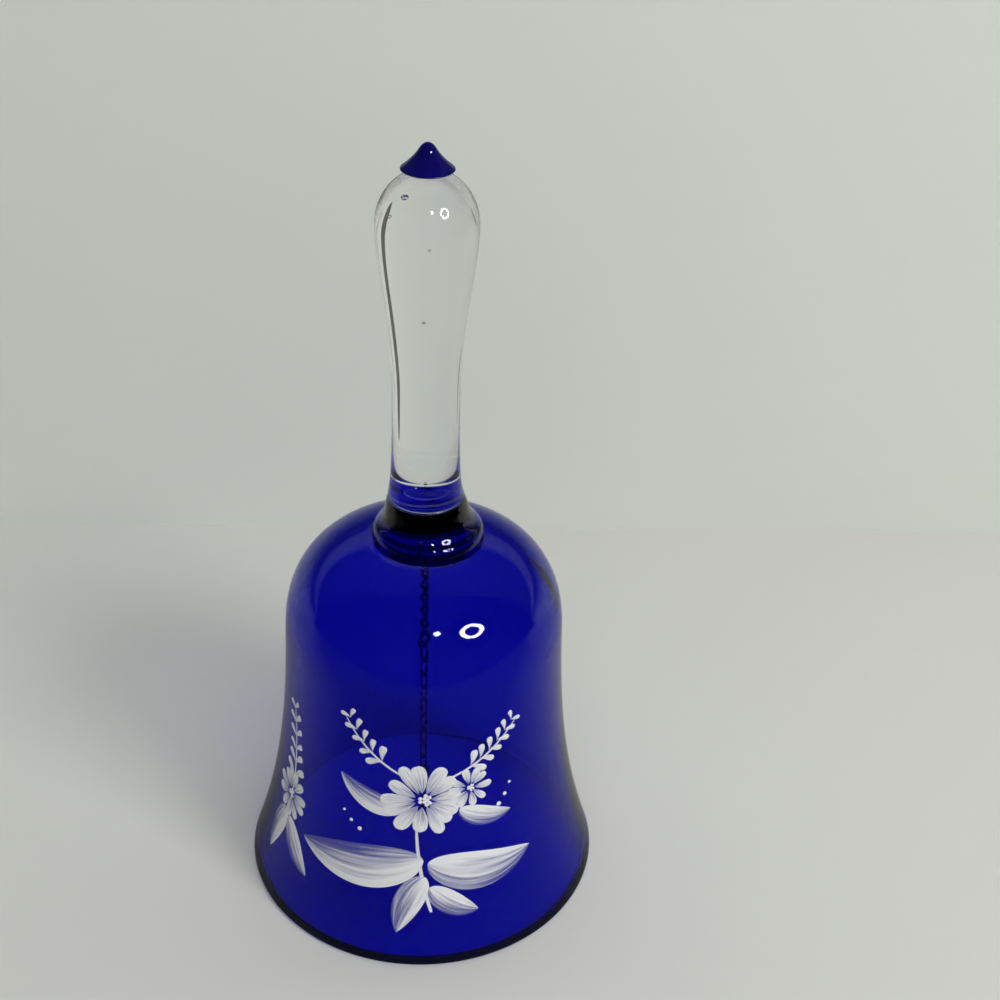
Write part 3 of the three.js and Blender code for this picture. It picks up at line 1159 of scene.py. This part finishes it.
@dataclass
class Stem:
    """The clear collar and club handle, fused at a seam, with seed bubbles in the handle."""

    sink: float = 0.25
    toe_radius: float = 11.7
    toe_round: float = 0.3
    toe_rise: float = 1.2
    ledge: Point = (10.7, 3.8)
    ledge_spread: float = 1.1
    ledge_fall: float = 1.0
    flare_rise: float = 1.9
    neck_spread: float = 1.0
    neck_drop: float = 2.0
    seam_drop: float = 0.4
    seam_radius: float = 7.9
    seam_depth: float = 0.12
    seam_half: float = 0.28
    seam_soft: float = 0.1
    collar_shift: float = 0.66
    shift_height: float = 2.0
    shift_reach: float = 13.0
    handle_foot: Point = (6.9, 4.0)
    waist_radius: float = 6.8
    waist_rise: float = 25.8
    waist_reach: float = 12.5
    belly_radius: float = 9.85
    belly_rise: float = 58.8
    belly_reach: float = 8.0
    head_rise: float = 10.6
    seat_radius: float = 3.4
    steps: int = 160
    base_parts: int = 8
    toe_parts: int = 6
    ledge_parts: int = 24
    seam_parts: int = 6
    seat_parts: int = 4
    curve_parts: int = 40
    seeds: tuple[Seed, ...] = (
        Seed((-3.6, -3.0, 161.4), 0.7, 0.4),
        Seed((-5.5, -2.0, 157.6), 0.33, 0.28),
        Seed((0.3, -1.5, 152.4), 0.22, 0.2),
        Seed((-0.4, -2.0, 137.8), 0.28, 0.24),
        Seed((0.0, -4.4, 102.4), 0.3, 0.36),
        Seed((-1.6, -4.0, 101.0), 0.22, 0.26),
    )

    def __post_init__(self) -> None:
        """Takes the collar's and the handle's heights from the frame."""
        self.base = low_high("crown_collar")[0].z
        low, high = low_high("handle")
        self.seam = low.z - self.seam_drop
        self.top = high.z

    def outline(self) -> Outline:
        """Draws the stem's section from the middle of its base to the middle of its head.

        Returns:
            The outline.
        """
        toe = self.toe_round
        ledge = (self.ledge[0], self.base + self.ledge[1])
        groove = (self.seam_radius - self.seam_depth, self.seam)
        low, high = self.seam - self.seam_soft, self.seam + self.seam_soft
        waist = (self.waist_radius, self.seam + self.waist_rise)
        belly = (self.belly_radius, self.seam + self.belly_rise)
        line = Outline(0, self.base - self.sink)
        line.line(self.toe_radius - toe, self.base - self.sink, self.base_parts)
        line.line(self.toe_radius - toe, self.base)
        line.round((self.toe_radius - toe, self.base + toe), toe, toe, (-90, 0), self.toe_parts)
        line.curve(
            (self.toe_radius, self.base + toe + self.toe_rise),
            (ledge[0] + self.ledge_spread * self.ledge_fall, ledge[1] - self.ledge_fall),
            ledge,
            self.ledge_parts,
        )
        line.curve(
            (ledge[0] - self.ledge_spread * self.flare_rise, ledge[1] + self.flare_rise),
            (self.seam_radius + self.neck_spread, self.seam - self.seam_half - self.neck_drop),
            (self.seam_radius, self.seam - self.seam_half),
            self.curve_parts,
        )
        line.curve((self.seam_radius, low), (groove[0], low), groove, self.seam_parts)
        line.curve(
            (groove[0], high),
            (self.seam_radius, high),
            (self.seam_radius, self.seam + self.seam_half),
            self.seam_parts,
        )
        line.curve(
            (self.handle_foot[0], self.seam + self.handle_foot[1]),
            (self.waist_radius, waist[1] - self.waist_reach),
            waist,
            self.curve_parts,
        )
        line.curve(
            (self.waist_radius, waist[1] + self.waist_reach),
            (self.belly_radius, belly[1] - self.belly_reach),
            belly,
            self.curve_parts,
        )
        end = math.degrees(math.acos(self.seat_radius / self.belly_radius))
        line.round((0, belly[1]), self.belly_radius, self.head_rise, (0, end), self.curve_parts)
        return line.line(0, self.top, self.seat_parts)

    def build(self) -> Piece:
        """Turns the stem, shifts its collar aside and blows its bubbles.

        Returns:
            The stem.
        """
        piece = Bench.lathe("stem", self.outline(), self.steps)
        Bench.mark_fused(piece, Bench.on_seat(self.base - self.sink, self.toe_radius))
        Bench.mark_fused(piece, Bench.on_seat(self.top, self.seat_radius))
        shifted = self.base + self.shift_height
        Bench.select_points(piece, [point.co.z / MM < shifted for point in piece.data.vertices])
        bpy.ops.transform.translate(
            value=(self.collar_shift * MM, 0, 0),
            use_proportional_edit=True,
            proportional_edit_falloff="SMOOTH",
            proportional_size=self.shift_reach * MM,
        )
        Bench.close()
        return Bench.join(piece, *(seed.blow() for seed in self.seeds))


@dataclass
class Finial:
    """The peaked cobalt cap on the handle's head."""

    sink: float = 0.2
    seat_radius: float = 3.4
    edge_radius: float = 5.08
    edge_lift: float = 0.3
    edge_round: float = 0.12
    edge_turn: Point = (-90.0, 50.0)
    skirt: Point = (4.0, 1.3)
    skirt_reach: float = 1.3
    neck: Point = (1.7, 4.05)
    neck_slope: float = 60.0
    tip_rise: float = 0.75
    tip_reach: float = 0.75
    steps: int = 96
    seat_parts: int = 4
    under_parts: int = 6
    edge_parts: int = 8
    curve_parts: int = 60

    def __post_init__(self) -> None:
        """Takes the cap's height from the frame."""
        self.base, self.top = (corner.z for corner in low_high("finial"))

    def outline(self) -> Outline:
        """Draws the cap's section from under its seat to its tip.

        Returns:
            The outline.
        """
        turn = self.edge_round
        low = self.base + self.edge_lift
        under = self.base - self.sink
        line = Outline(0, under).line(self.seat_radius, under, self.seat_parts)
        line.line(self.seat_radius, self.base).line(self.edge_radius - turn, low, self.under_parts)
        line.round((self.edge_radius - turn, low + turn), turn, turn, self.edge_turn, self.edge_parts)
        skirt = Vector((self.skirt[0], self.base + self.skirt[1]))
        neck = Vector((self.neck[0], self.base + self.neck[1]))
        slope = math.radians(self.neck_slope)
        upward = Vector((-math.cos(slope), math.sin(slope)))
        line.curve(skirt, neck - upward * self.skirt_reach, neck, self.curve_parts)
        tip = (0, self.top)
        return line.curve(neck + upward * self.tip_rise, (self.tip_reach, self.top), tip, self.curve_parts)

    def build(self) -> Piece:
        """Turns the cap.

        Returns:
            The cap.
        """
        piece = Bench.lathe("cap", self.outline(), self.steps)
        Bench.mark_fused(piece, Bench.on_seat(self.base - self.sink, self.seat_radius))
        return piece


@dataclass
class Clapper:
    """What hangs in the cup: a twisted wire hanger, a chain of welded links, and a bead on an eye pin."""

    turn: float = math.pi / 4
    hanger_wire: float = 0.8
    strand_radius: float = 0.6
    twists: int = 4
    twist_rows: int = 24
    eye_radius: float = 1.4
    link_count: int = 9
    link_wire: float = 0.5
    link_width: float = 2.1
    link_length: float = 5.4
    pin_wire: float = 0.8
    pin_head_radius: float = 1.4
    pin_head_thickness: float = 0.7
    pin_corner: float = 0.1
    pin_steps: int = 24
    pin_flat_parts: int = 2
    pin_head_parts: int = 10
    bead_hole: float = 0.7
    bead_steps: int = 48
    bead_parts: int = 40
    hole_parts: int = 8
    wire_sides: int = 16
    ring_steps: int = 40

    def strand(self, start: float, foot: float, top: float) -> list[Vector]:
        """Winds one strand of the hanger's twist.

        Args:
            start: its angle at the foot, in radians.
            foot: the foot's height in millimetres.
            top: its upper end's height.

        Returns:
            The strand's middle line, from the foot up.
        """
        rows = self.twists * self.twist_rows
        run = []
        for row in range(rows + 1):
            angle = start + math.tau * self.twists * row / rows
            across = (self.strand_radius * math.cos(angle), self.strand_radius * math.sin(angle))
            run.append(Vector((*across, foot + (top - foot) * row / rows)))
        return run

    def hanger(self) -> Piece:
        """Bends the hanger in one run: down one strand of the twist, round the eye and up the other strand.

        Returns:
            The hanger.
        """
        low, high = low_high("clapper_hanger")
        eye = low.z + self.eye_radius + self.hanger_wire / 2
        foot = eye + self.eye_radius + self.strand_radius
        opening = math.asin(self.strand_radius / self.eye_radius)
        ring = []
        for step in range(self.ring_steps + 1):
            angle = QUARTER - opening - 2 * (math.pi - opening) * step / self.ring_steps
            out, up = self.eye_radius * math.cos(angle), self.eye_radius * math.sin(angle)
            ring.append(Vector((out, 0, eye + up)))
        first, last = (self.strand(start, foot, high.z) for start in (0.0, math.pi))
        turned = Matrix.Rotation(self.turn, 3, "Z")
        path = [turned @ point for point in (*first[::-1], *ring, *last)]
        return Bench.wire("hanger", path, self.hanger_wire, self.wire_sides)

    def ring(self, name: str, centre: float, radius: float, wire: float, facing: float) -> Piece:
        """Adds a standing wire ring.

        Args:
            name: the ring's name.
            centre: its centre's height.
            radius: its middle line's radius.
            wire: its wire's diameter.
            facing: the turn about Z of the plane that it stands in.

        Returns:
            The ring.
        """
        Bench.clear()
        bpy.ops.mesh.primitive_torus_add(
            major_segments=self.ring_steps,
            minor_segments=self.wire_sides,
            major_radius=radius * MM,
            minor_radius=wire / 2 * MM,
            location=(0, 0, centre * MM),
            rotation=(QUARTER, math.pi / self.ring_steps, facing),
        )
        return Bench.settle(name)

    def link(self) -> Piece:
        """Draws a ring's two bows apart, so that its sides run straight, for the first link.

        Returns:
            The link.
        """
        low, high = low_high("chain_link_01")
        centre = (low.z + high.z) / 2
        bow = (self.link_width - self.link_wire) / 2
        piece = self.ring("link_01", centre, bow, self.link_wire, self.turn + QUARTER)
        half_draw = (self.link_length - self.link_width) / 2
        for side in (1, -1):
            Bench.select_points(piece, [side * (p.co.z / MM - centre) > 0 for p in piece.data.vertices])
            bpy.ops.transform.translate(value=(0, 0, side * half_draw * MM))
        Bench.close()
        bpy.ops.object.shade_smooth()
        return piece

    def chain(self) -> list[Piece]:
        """Copies the first link down the chain, each a quarter turn on from the one above it.

        Returns:
            The links, from the top.
        """
        links = [self.link()]
        first = low_high("chain_link_01")[1].z
        for count in range(2, self.link_count + 1):
            drop = first - low_high(f"chain_link_{count:02d}")[1].z
            turn = QUARTER * ((count - 1) % 2)
            link = Bench.copy(links[0])
            link.matrix_world = Matrix.Translation((0, 0, -drop * MM)) @ Matrix.Rotation(turn, 4, "Z")
            links.append(Bench.settle(f"link_{count:02d}"))
        return links

    def pin(self) -> Piece:
        """Forges the eye pin: an eye, a shank and a flat head.

        Returns:
            The pin.
        """
        low, high = low_high("clapper_pin")
        eye = high.z - self.eye_radius - self.pin_wire / 2
        facing = self.turn + (self.link_count + 1) * QUARTER
        ring = self.ring("pin", eye, self.eye_radius, self.pin_wire, facing)
        half = self.pin_head_thickness / 2
        shank = self.pin_wire / 2
        flat = self.pin_head_radius - half
        neck = low.z + 2 * half
        line = Outline(0, low.z).line(flat, low.z, self.pin_flat_parts)
        line.round((flat, low.z + half), half, half, (-90, 90), self.pin_head_parts)
        line.line(shank + self.pin_corner, neck).line(shank, neck + self.pin_corner)
        line.line(shank, eye - self.eye_radius, self.pin_flat_parts).line(0, eye - self.eye_radius)
        piece = Bench.join(ring, Bench.lathe("pin_shank", line, self.pin_steps))
        bpy.ops.object.shade_smooth_by_angle(angle=Bench.SHARP)
        return piece

    def bead(self) -> Piece:
        """Turns the drilled bead.

        Returns:
            The bead.
        """
        low, high = low_high("clapper_bead")
        radius = (high.x - low.x) / 2
        centre = (high.z + low.z) / 2
        mouth = math.degrees(math.acos(self.bead_hole / radius))
        foot = centre - radius * math.sin(math.radians(mouth))
        line = Outline(self.bead_hole, foot)
        line.round((0, centre), radius, radius, (-mouth, mouth), self.bead_parts)
        return Bench.lathe("bead", line.line(self.bead_hole, foot, self.hole_parts), self.bead_steps)


class Ray(str, Enum):
    """The kinds of rays that a stage piece can be hidden from."""

    CAMERA = "camera"
    DIFFUSE = "diffuse"
    GLOSSY = "glossy"
    TRANSMISSION = "transmission"
    SHADOW = "shadow"


class Mirror(str, Enum):
    """The Light Path outputs that tell a stage surface that it is seen in a mirror."""

    FIRST = "Is Glossy Ray"
    DEEP = "Glossy Depth"


def hide(piece: Piece, *rays: Ray) -> None:
    """Hides a stage piece from some kinds of rays."""
    for ray in rays:
        setattr(piece, f"visible_{ray.value}", False)


@dataclass(frozen=True)
class Falloff:
    """How a stage surface darkens in reflections along one axis, as the room round it would make it."""

    axis: str
    stops: tuple[Point, ...]
    mirror: Mirror


@dataclass(frozen=True)
class Paint:
    """A matt paint of the stage, which may darken in reflections or be clear from behind."""

    name: str
    colour: Colour
    falloff: Falloff | None = None
    one_sided: bool = False
    roughness: float = 0.9
    specular: float = 0.1

    def material(self) -> Material:
        """Mixes the paint.

        Returns:
            The material.
        """
        nodes = Nodes(bpy.data.materials.new(self.name))
        surface = nodes.add(
            "ShaderNodeBsdfPrincipled",
            Base_Color=(*self.colour, 1),
            Roughness=self.roughness,
            Specular_IOR_Level=self.specular,
        )
        if self.falloff:
            ray = nodes.add("ShaderNodeLightPath").outputs
            mirrored = ray[self.falloff.mirror.value]
            if self.falloff.mirror is Mirror.FIRST:
                mirrored = nodes.math("SUBTRACT", mirrored, ray["Is Transmission Ray"])
            dim = nodes.stops(nodes.along(nodes.place(), self.falloff.axis), self.falloff.stops)
            share = nodes.math("MINIMUM", nodes.math("MAXIMUM", mirrored, 0.0), 1.0)
            dark = nodes.add("ShaderNodeEmission", Strength=0.0)
            surface = nodes.mix(nodes.math("MULTIPLY", share, dim), surface, dark)
        if self.one_sided:
            behind = nodes.add("ShaderNodeNewGeometry").outputs["Backfacing"]
            surface = nodes.mix(behind, surface, nodes.add("ShaderNodeBsdfTransparent"))
        return nodes.finish(surface)


TABLE_PAINT = Paint(
    "table_paint",
    (0.74, 0.735, 0.70),
    Falloff("Y", ((-0.22, 1.0), (-0.205, 0.86), (-0.06, 0.84), (0.04, 0.2)), Mirror.FIRST),
)
BACKDROP_PAINT = Paint(
    "backdrop_paint",
    (0.76, 0.80, 0.735),
    Falloff(
        "Z",
        ((0.07, 0.1), (0.13, 0.9), (0.15, 0.9), (0.16, 0.45), (0.19, 0.45), (0.205, 0.9)),
        Mirror.DEEP,
    ),
    one_sided=True,
)
CARD_COLOUR: Colour = (0.13, 0.13, 0.125)


@dataclass(frozen=True)
class Board:
    """A flat painted board of the stage, in metres."""

    name: str
    place: Place
    tilt: float
    size: Point
    paint: Paint

    def build(self) -> Piece:
        """Sets up the board.

        Returns:
            The board.
        """
        Bench.clear()
        bpy.ops.mesh.primitive_plane_add(size=1, location=self.place, rotation=(self.tilt, 0, 0))
        bpy.context.object.scale = (*self.size, 1)
        board = Bench.settle(self.name)
        board.data.materials.append(self.paint.material())
        return board


@dataclass(frozen=True)
class Lamp:
    """A lamp that looks at the bell's middle, in metres."""

    name: str
    place: Place
    AIM: ClassVar[Place] = (0.0, 0.0, 0.08)

    def facing(self) -> Matrix:
        """Gives the lamp's place and turn."""
        place = Vector(self.place)
        way = (Vector(self.AIM) - place).to_track_quat("-Z", "Y")
        return Matrix.Translation(place) @ way.to_matrix().to_4x4()


@dataclass(frozen=True)
class RingLamp(Lamp):
    """A round lamp with a dark middle, which only shows in reflections."""

    outer: float
    inner: float
    strength: float = 32.0
    VERTICES: ClassVar[int] = 64
    CLOSED: ClassVar[float] = 0.001

    def glow(self) -> Material:
        """Builds the lamp's glowing face."""
        nodes = Nodes(bpy.data.materials.new("lamp_glow"))
        return nodes.finish(nodes.add("ShaderNodeEmission", Strength=self.strength))

    def build(self) -> Piece:
        """Makes the lamp from a circle drawn inwards.

        Returns:
            The lamp.
        """
        Bench.clear()
        bpy.ops.mesh.primitive_circle_add(vertices=self.VERTICES, radius=self.outer, fill_type="NOTHING")
        Bench.open()
        bpy.ops.mesh.extrude_region_move()
        scale = max(self.inner / self.outer, self.CLOSED)
        bpy.ops.transform.resize(value=(scale, scale, 1))
        Bench.close()
        bpy.context.object.matrix_world = self.facing()
        lamp = Bench.settle(self.name)
        lamp.data.materials.append(self.glow())
        hide(lamp, Ray.CAMERA, Ray.DIFFUSE, Ray.TRANSMISSION, Ray.SHADOW)
        return lamp


@dataclass(frozen=True)
class Softbox(Lamp):
    """A soft area lamp that stays out of reflections."""

    size: float
    power: float

    def build(self) -> Piece:
        """Hangs the lamp.

        Returns:
            The lamp.
        """
        light = bpy.data.lights.new(self.name, "AREA")
        light.size = self.size
        light.energy = self.power
        lamp = bpy.data.objects.new(self.name, light)
        bpy.context.collection.objects.link(lamp)
        lamp.matrix_world = self.facing()
        hide(lamp, Ray.GLOSSY, Ray.TRANSMISSION, Ray.CAMERA)
        return lamp


@dataclass(frozen=True)
class Card:
    """A dark oval card beside the backdrop, out of the camera's sight, that draws the clear glass's edges.

    Its turn is in degrees from straight behind towards the right, its reach and size in metres.
    """

    name: str
    turn: float
    reach: float
    size: Point
    VERTICES: ClassVar[int] = 48

    def build(self) -> Piece:
        """Stands the card up.

        Returns:
            The card.
        """
        Bench.clear()
        bpy.ops.mesh.primitive_circle_add(vertices=self.VERTICES, radius=0.5, fill_type="NGON")
        angle = math.radians(self.turn)
        place = Vector((self.reach * math.sin(angle), self.reach * math.cos(angle), self.size[1] / 2))
        bpy.context.object.matrix_world = (
            Matrix.Translation(place)
            @ Matrix.Rotation(-angle, 4, "Z")
            @ Matrix.Rotation(QUARTER, 4, "X")
            @ Matrix.Diagonal((*self.size, 1, 1))
        )
        card = Bench.settle(self.name)
        card.data.materials.append(Paint(self.name, CARD_COLOUR).material())
        hide(card, Ray.CAMERA, Ray.DIFFUSE, Ray.GLOSSY, Ray.SHADOW)
        return card


@dataclass
class Studio:
    """The pale table and backdrop, the lamps and the camera, in metres and degrees."""

    boards: tuple[Board, ...] = (
        Board("floor", (-0.06, 0.7, 0), 0, (1.56, 2.6), TABLE_PAINT),
        Board("backdrop", (0, 0.135, 0.8), QUARTER, (2.4, 1.6), BACKDROP_PAINT),
    )
    lamps: tuple[RingLamp, ...] = (
        RingLamp("ring_lamp", (0.53, -0.53, 0.611), 0.155, 0.095),
        RingLamp("spot_lamp", (0.114, -0.515, 0.563), 0.035, 0.0),
    )
    cards: tuple[Card, ...] = (
        Card("right_card", 44.0, 0.175, (0.03, 0.13)),
        Card("thin_card", 62.0, 0.2, (0.008, 0.13)),
        Card("left_card", -62.0, 0.19, (0.015, 0.07)),
    )
    softboxes: tuple[Softbox, ...] = (
        Softbox("key_softbox", (0.75, -0.7, 0.75), 0.4, 6.2),
        Softbox("top_softbox", (0.1, -0.7, 1.1), 1.0, 5.0),
    )
    room_colour: Colour = (0.15, 0.155, 0.16)
    room_mirrored: float = 0.06
    horizon_height: float = 0.6
    horizon_shine: Point = (0.6, 0.08)
    camera_place: Place = (0, -0.2628, 0.26105)
    camera_turn: tuple[float, float, float] = (32.197, 3.370, 2.217)
    lens: float = 54.0
    sensor: float = 36.0
    clip_start: float = 0.01
    bounces: int = 24
    glossy_bounces: int = 12

    def world(self) -> None:
        """Sets a dim room that pales at the horizon where it is seen directly or through glass."""
        nodes = Nodes(bpy.data.worlds.new("room"), "ShaderNodeOutputWorld")
        ray = nodes.add("ShaderNodeLightPath").outputs
        shade = nodes.ramp(ray["Is Glossy Ray"], 0.0, 1.0, (1.0, self.room_mirrored))
        dim = nodes.add("ShaderNodeBackground", Color=(*self.room_colour, 1), Strength=shade)
        height = nodes.along(nodes.add("ShaderNodeTexCoord").outputs["Generated"], "Z")
        shine = nodes.ramp(height, 0.0, self.horizon_height, self.horizon_shine)
        pale = nodes.add("ShaderNodeBackground", Strength=shine)
        seen = nodes.math("MAXIMUM", ray["Is Camera Ray"], ray["Is Transmission Ray"])
        bpy.context.scene.world = nodes.finish(nodes.mix(seen, dim, pale))

    def camera(self) -> None:
        """Stands the camera at the photograph's viewing angle."""
        data = bpy.data.cameras.new("photo_camera")
        data.lens = self.lens
        data.sensor_width = self.sensor
        data.clip_start = self.clip_start
        camera = bpy.data.objects.new("photo_camera", data)
        bpy.context.collection.objects.link(camera)
        pitch, yaw, roll = (math.radians(angle) for angle in self.camera_turn)
        ahead = Vector((math.sin(yaw) * math.cos(pitch), math.cos(yaw) * math.cos(pitch), -math.sin(pitch)))
        level = ahead.cross(Vector((0, 0, 1))).normalized()
        upright = level.cross(ahead)
        right = math.cos(roll) * level + math.sin(roll) * upright
        up = math.cos(roll) * upright - math.sin(roll) * level
        turned = Matrix((right, up, -ahead)).transposed().to_4x4()
        camera.matrix_world = Matrix.Translation(self.camera_place) @ turned
        bpy.context.scene.camera = camera

    def build(self) -> None:
        """Sets up the studio and the render's plain settings."""
        scene = bpy.context.scene
        scene.view_settings.view_transform = "Standard"
        scene.cycles.use_denoising = True
        scene.cycles.max_bounces = self.bounces
        scene.cycles.transmission_bounces = self.bounces
        scene.cycles.glossy_bounces = self.glossy_bounces
        scene.cycles.transparent_max_bounces = self.bounces
        [piece.build() for piece in (*self.boards, *self.lamps, *self.cards)]
        for softbox in self.softboxes:
            softbox.build()
        self.world()
        self.camera()


def main() -> None:
    """Builds the bell's pieces in order, then the studio round them."""
    logging.basicConfig(level=logging.INFO, format="%(name)s: %(message)s")
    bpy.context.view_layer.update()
    cobalt = COBALT.material()
    deep_cobalt = COBALT_CAP.material()
    clear = CLEAR.material()
    steel = STEEL.material()
    enamel = ENAMEL.material()
    bell = Body.BELL.value
    cup = Cup()
    dress(cup.build(), cobalt, Slot.COBALT, bell, "bell_cup")
    # Painted shade: the near-black ring under the lip's front.
    dress(cup.lip_shade(), LIP_SHADE_PAINT.material(), Slot.COBALT, bell)
    dress(Stem().build(), clear, Slot.CLEAR, bell, "crown_collar", "handle")
    dress(Finial().build(), deep_cobalt, Slot.COBALT, bell, "finial")
    spray = Spray(cup)
    dress(spray.build("front_spray", spray.front()), enamel, Slot.ENAMEL, bell)
    dress(spray.build("side_spray", spray.side()), enamel, Slot.ENAMEL, bell)
    clapper = Clapper()
    dress(clapper.hanger(), steel, Slot.STEEL, bell, "clapper_hanger")
    for count, link in enumerate(clapper.chain(), 1):
        dress(link, steel, Slot.STEEL, f"link_{count:02d}", f"chain_link_{count:02d}")
    dress(clapper.pin(), steel, Slot.STEEL, Body.CLAPPER.value, "clapper_pin")
    dress(clapper.bead(), clear, Slot.CLEAR, Body.CLAPPER.value, "clapper_bead")
    Studio().build()


if __name__ == "__main__":
    main()
